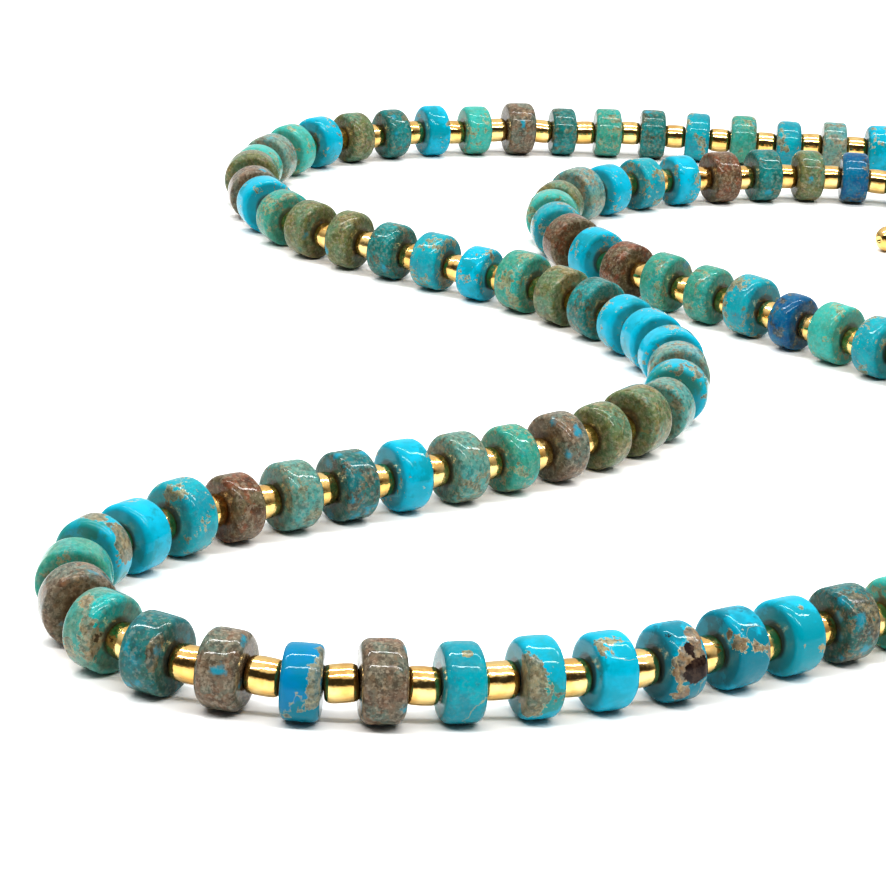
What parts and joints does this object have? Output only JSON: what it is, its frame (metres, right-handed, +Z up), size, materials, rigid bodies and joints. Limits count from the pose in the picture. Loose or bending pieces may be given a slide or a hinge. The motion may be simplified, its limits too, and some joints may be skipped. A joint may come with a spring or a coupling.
{
  "type": "beaded necklace",
  "caption": "Turquoise and brown stone disc necklace with small gold spacer beads, lying fastened in a curved loop.",
  "frame": {"origin": "middle of the necklace as it lies, on the surface under it", "axes": "+Z up from the surface, +Y away from the viewer along the length of the curved loop, +X to the right"},
  "size_m": [0.1026, 0.1834, 0.006],
  "materials": {
    "stone": "polished",
    "gold": "polished"
  },
  "bodies": {
    "root": {"far_string": "stone", "near_string": "stone", "clasp": "gold", "tail_chain": "gold", "tail_bead": "gold"}
  },
  "joints": []
}
